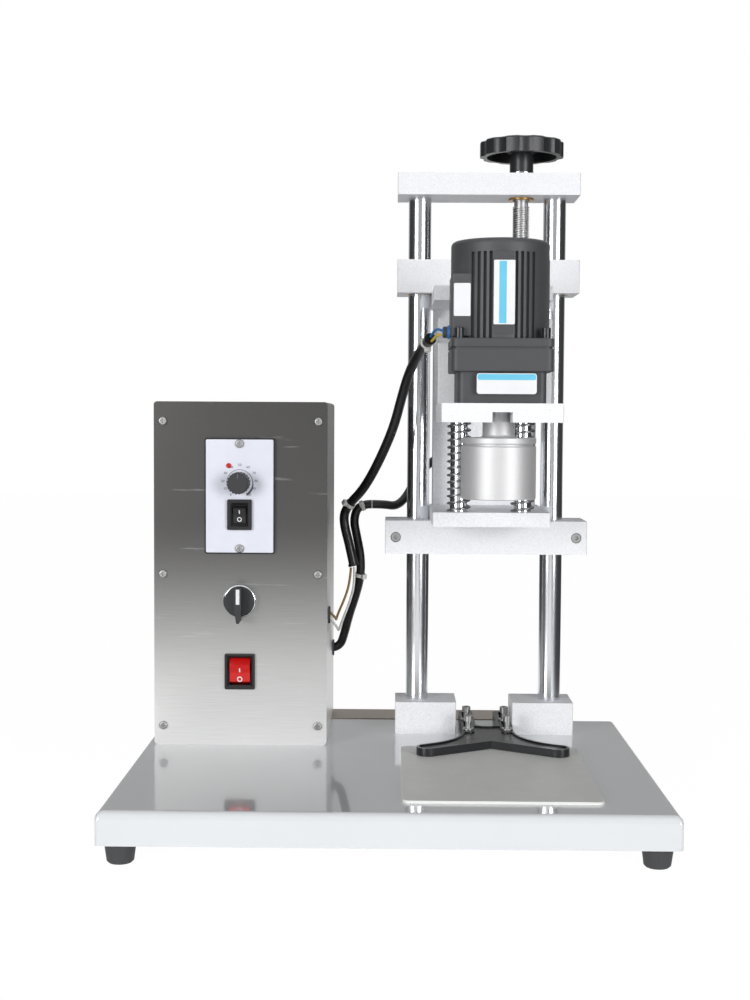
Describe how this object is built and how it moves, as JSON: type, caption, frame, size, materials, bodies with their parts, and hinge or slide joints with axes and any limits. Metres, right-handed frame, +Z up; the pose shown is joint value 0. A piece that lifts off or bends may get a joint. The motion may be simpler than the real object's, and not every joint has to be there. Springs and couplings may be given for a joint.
{
  "type": "bottle capping machine",
  "caption": "Bench-top capping machine: control box, two-post lift with lead screw and handwheel, spring-borne gearmotor head with chuck, and a bottle locator.",
  "frame": {"origin": "centre of the footprint, base plate and rear ledge together, on the surface the feet stand on", "axes": "+X to the right of someone facing the control panel, +Y to the back, +Z up"},
  "size_m": [0.422, 0.378, 0.5688],
  "materials": {
    "white_paint": "gloss",
    "black_rubber": "matte",
    "grey_mat": "matte",
    "blasted_aluminium": "sandblasted",
    "bare_aluminium": "matte",
    "chromed_steel": "polished",
    "bright_steel": "bright",
    "satin_aluminium": "satin",
    "bronze": "machined",
    "spring_steel": "oiled",
    "brushed_stainless": "brushed",
    "motor_grey": "satin",
    "black_plastic": "matte",
    "black_gloss": "gloss",
    "white_plastic": "satin",
    "red_plastic": "gloss",
    "black_cast": "satin",
    "liner_rubber": "matte",
    "sleeve_black": "satin",
    "wire_white": "satin",
    "wire_brown": "satin",
    "wire_blue": "satin",
    "wire_yellow": "satin"
  },
  "bodies": {
    "frame": {"base_plate": "white_paint", "rubber_feet": "black_rubber", "rest_pad": "grey_mat", "rear_ledge": "bare_aluminium", "left_post_block": "blasted_aluminium", "right_post_block": "blasted_aluminium", "left_post": "chromed_steel", "right_post": "chromed_steel", "top_plate": "blasted_aluminium", "post_screws": "bright_steel", "thrust_bush": "bronze", "box_shell": "brushed_stainless", "front_panel": "brushed_stainless", "panel_screws": "bright_steel", "speed_unit": "white_plastic", "speed_lamp": "red_plastic", "selector_bezel": "chromed_steel", "stop_switch_frame": "black_gloss", "power_switch_frame": "black_gloss", "box_glands": "black_rubber", "locator_screws": "bright_steel", "locator_washers": "bright_steel", "motor_sleeve": "sleeve_black", "branch_cable": "sleeve_black", "white_wire": "wire_white", "brown_wire": "wire_brown"},
    "lift_screw": {"lead_screw": "bright_steel", "screw_collar": "chromed_steel", "handwheel": "black_gloss"},
    "carriage": {"upper_crossbar": "blasted_aluminium", "lift_nut": "bronze", "post_bushes": "bronze", "lower_crossbar": "blasted_aluminium", "clamp_screws": "bright_steel", "carriage_top_plate": "blasted_aluminium", "spring_plate": "blasted_aluminium", "carriage_back_plate": "blasted_aluminium", "guide_rods": "chromed_steel", "left_spring": "spring_steel", "right_spring": "spring_steel", "carriage_gland": "black_rubber", "carriage_cable": "sleeve_black"},
    "head": {"head_plate": "blasted_aluminium", "head_upright": "blasted_aluminium", "rod_bushes": "bronze", "gear_case": "motor_grey", "motor_body": "motor_grey", "motor_bolts": "black_cast", "terminal_cover": "motor_grey", "blue_lead": "wire_blue", "yellow_lead": "wire_yellow"},
    "spindle": {"output_shaft": "bright_steel", "drive_hub": "satin_aluminium", "clutch_body": "satin_aluminium", "cap_liner": "liner_rubber"},
    "speed_control": {"speed_knob": "black_plastic"},
    "selector": {"selector_knob": "black_plastic"},
    "stop_switch": {"stop_rocker": "black_gloss"},
    "power_switch": {"power_rocker": "red_plastic"},
    "locator": {"bottle_locator": "black_cast"}
  },
  "joints": [
    {"name": "carriage_lift", "type": "slide", "parent": "frame", "child": "carriage", "axis": [0, 0, 1], "range_m": [-0.125, 0.05]},
    {"name": "screw_spin", "type": "hinge", "parent": "frame", "child": "lift_screw", "pos_m": [0.1145, 0.102, 0.5], "axis": [0, 0, 1], "range_deg": [-4600, 11350]},
    {"name": "head_press", "type": "slide", "parent": "carriage", "child": "head", "axis": [0, 0, 1], "range_m": [-0.028, 0.013], "stiffness_N_per_m": 2400, "springref_m": 0.0126, "deforming": ["left_spring", "right_spring"]},
    {"name": "spindle_spin", "type": "hinge", "parent": "head", "child": "spindle", "pos_m": [0.0845, -0.066, 0.28], "axis": [0, 0, 1], "continuous": true},
    {"name": "speed_turn", "type": "hinge", "parent": "frame", "child": "speed_control", "pos_m": [-0.129, 0.027, 0.2675], "axis": [0, -1, 0], "range_deg": [-140, 140]},
    {"name": "selector_turn", "type": "hinge", "parent": "frame", "child": "selector", "pos_m": [-0.129, 0.03, 0.1659], "axis": [0, -1, 0], "range_deg": [-45, 45]},
    {"name": "stop_press", "type": "hinge", "parent": "frame", "child": "stop_switch", "pos_m": [-0.129, 0.0292, 0.2402], "axis": [-1, 0, 0], "range_deg": [0, 20]},
    {"name": "power_press", "type": "hinge", "parent": "frame", "child": "power_switch", "pos_m": [-0.129, 0.035, 0.1048], "axis": [-1, 0, 0], "range_deg": [0, 20]},
    {"name": "locator_slide", "type": "slide", "parent": "frame", "child": "locator", "axis": [0, 1, 0], "range_m": [-0.033, 0.0025]}
  ],
  "couplings": [
    {"joint": "screw_spin", "follows": "carriage_lift", "rad_per_m": -1570.8}
  ]
}
